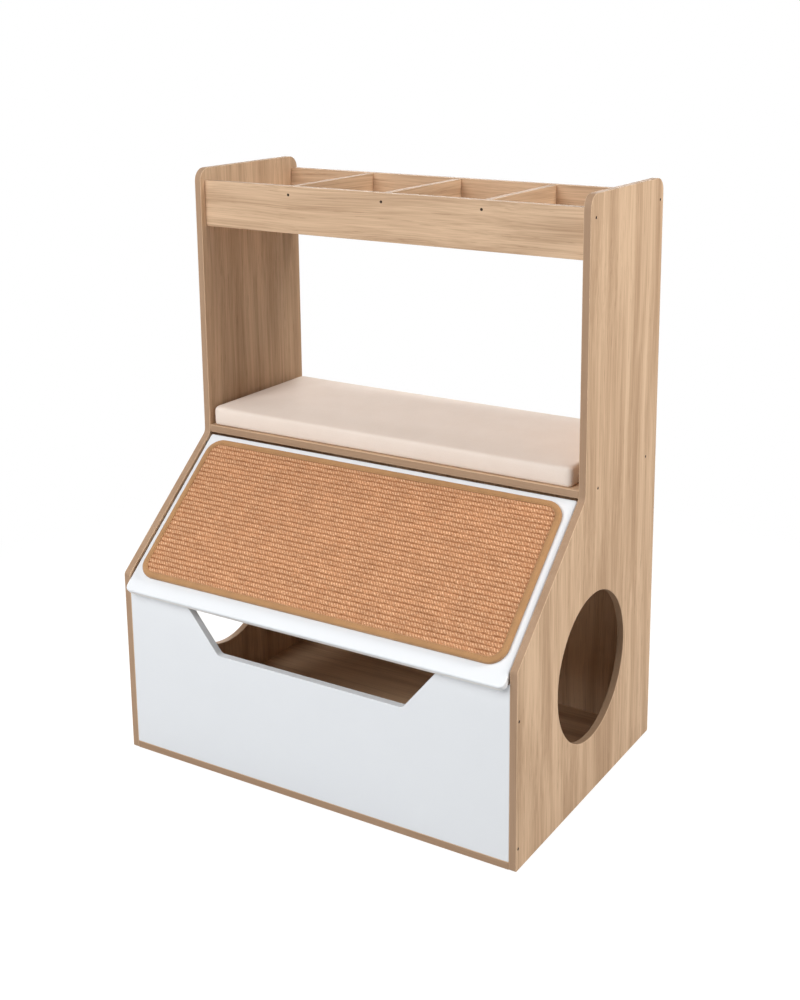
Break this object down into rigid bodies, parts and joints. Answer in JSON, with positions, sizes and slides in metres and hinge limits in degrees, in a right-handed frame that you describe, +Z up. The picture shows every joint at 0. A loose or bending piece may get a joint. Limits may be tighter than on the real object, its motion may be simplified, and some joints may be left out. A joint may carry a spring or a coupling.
{
  "type": "cat house cabinet",
  "caption": "Cat house cabinet with an enclosed cabin, round side holes, a hinged scratch-mat lid, a cushioned platform and a divided top tray.",
  "frame": {"origin": "centre of the footprint, on the floor", "axes": "+Z up, +Y from the front to the back, +X across the width to the right seen from the front"},
  "size_m": [0.72, 0.4912, 0.94],
  "materials": {
    "oak_board": "satin oak-look laminate",
    "white_board": "satin white laminate",
    "sisal": "ribbed sisal weave",
    "binding_tape": "woven cotton tape",
    "cushion_fabric": "brushed beige fabric",
    "screw_steel": "bronzed",
    "pin_steel": "turned",
    "nylon": "moulded",
    "beech_dowel": "fluted beech"
  },
  "bodies": {
    "cabinet": {"back_panel": "oak_board", "base_panel": "oak_board", "base_screws": "screw_steel", "dowels_left": "beech_dowel", "dowels_right": "beech_dowel", "front_panel": "white_board", "left_side_panel": "oak_board", "pivot_bush_left": "nylon", "pivot_bush_right": "nylon", "platform_panel": "oak_board", "right_side_panel": "oak_board", "side_screws_left": "screw_steel", "side_screws_right": "screw_steel", "tray_back": "oak_board", "tray_back_screws": "screw_steel", "tray_divider_1": "oak_board", "tray_divider_2": "oak_board", "tray_divider_3": "oak_board", "tray_floor": "oak_board", "tray_front": "oak_board", "tray_front_screws": "screw_steel"},
    "lid": {"lid_panel": "white_board", "scratch_mat": "sisal", "mat_binding": "binding_tape", "lid_pivot_pin_left": "pin_steel", "lid_pivot_pin_right": "pin_steel"},
    "cushion": {"seat_cushion": "cushion_fabric"}
  },
  "joints": [
    {"name": "lid_hinge", "type": "hinge", "parent": "cabinet", "child": "lid", "pos_m": [0, -0.027, 0.47135], "axis": [-1, 0, 0], "range_deg": [0, 105]},
    {"name": "cushion_lift", "type": "slide", "parent": "cabinet", "child": "cushion", "axis": [0, 0, 1], "range_m": [0, 0.2]}
  ]
}
